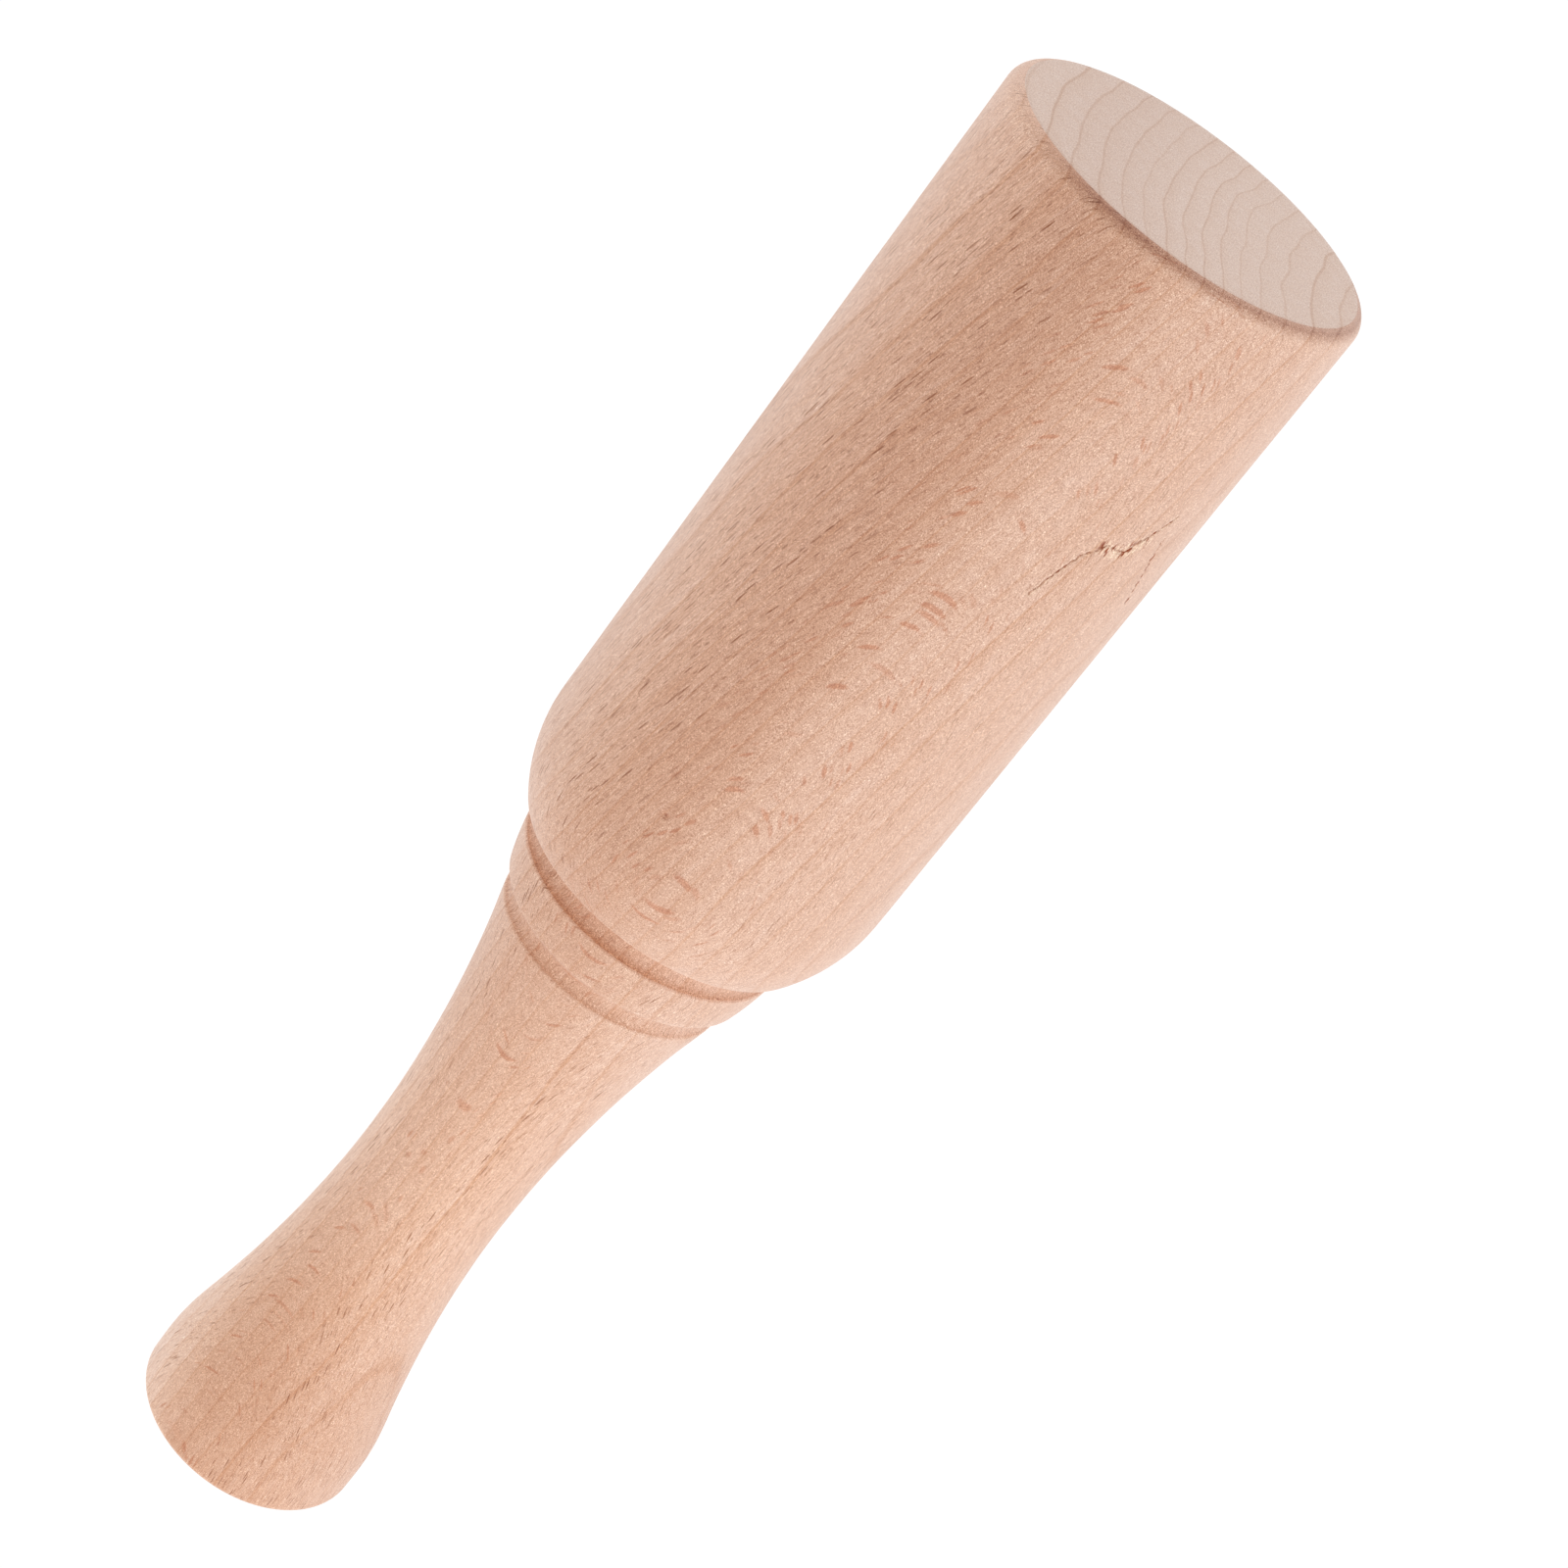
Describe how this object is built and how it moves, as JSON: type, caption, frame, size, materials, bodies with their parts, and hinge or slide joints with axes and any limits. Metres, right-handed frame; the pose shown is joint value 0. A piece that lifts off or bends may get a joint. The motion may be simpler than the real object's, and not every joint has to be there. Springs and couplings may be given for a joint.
{
  "type": "muddler",
  "caption": "Turned beech bar muddler with a flat-faced cylindrical head, a bead between two grooves and a waisted handle.",
  "frame": {"origin": "centre of the flat striking face at the end of the head", "axes": "+Z along the turning axis, from the striking face to the butt of the handle; X and Y are free, because the shape is round"},
  "size_m": [0.06, 0.06, 0.2715],
  "materials": {
    "beech": "sanded bare beech, matt"
  },
  "bodies": {
    "root": {"turned_body": "beech"}
  },
  "joints": []
}
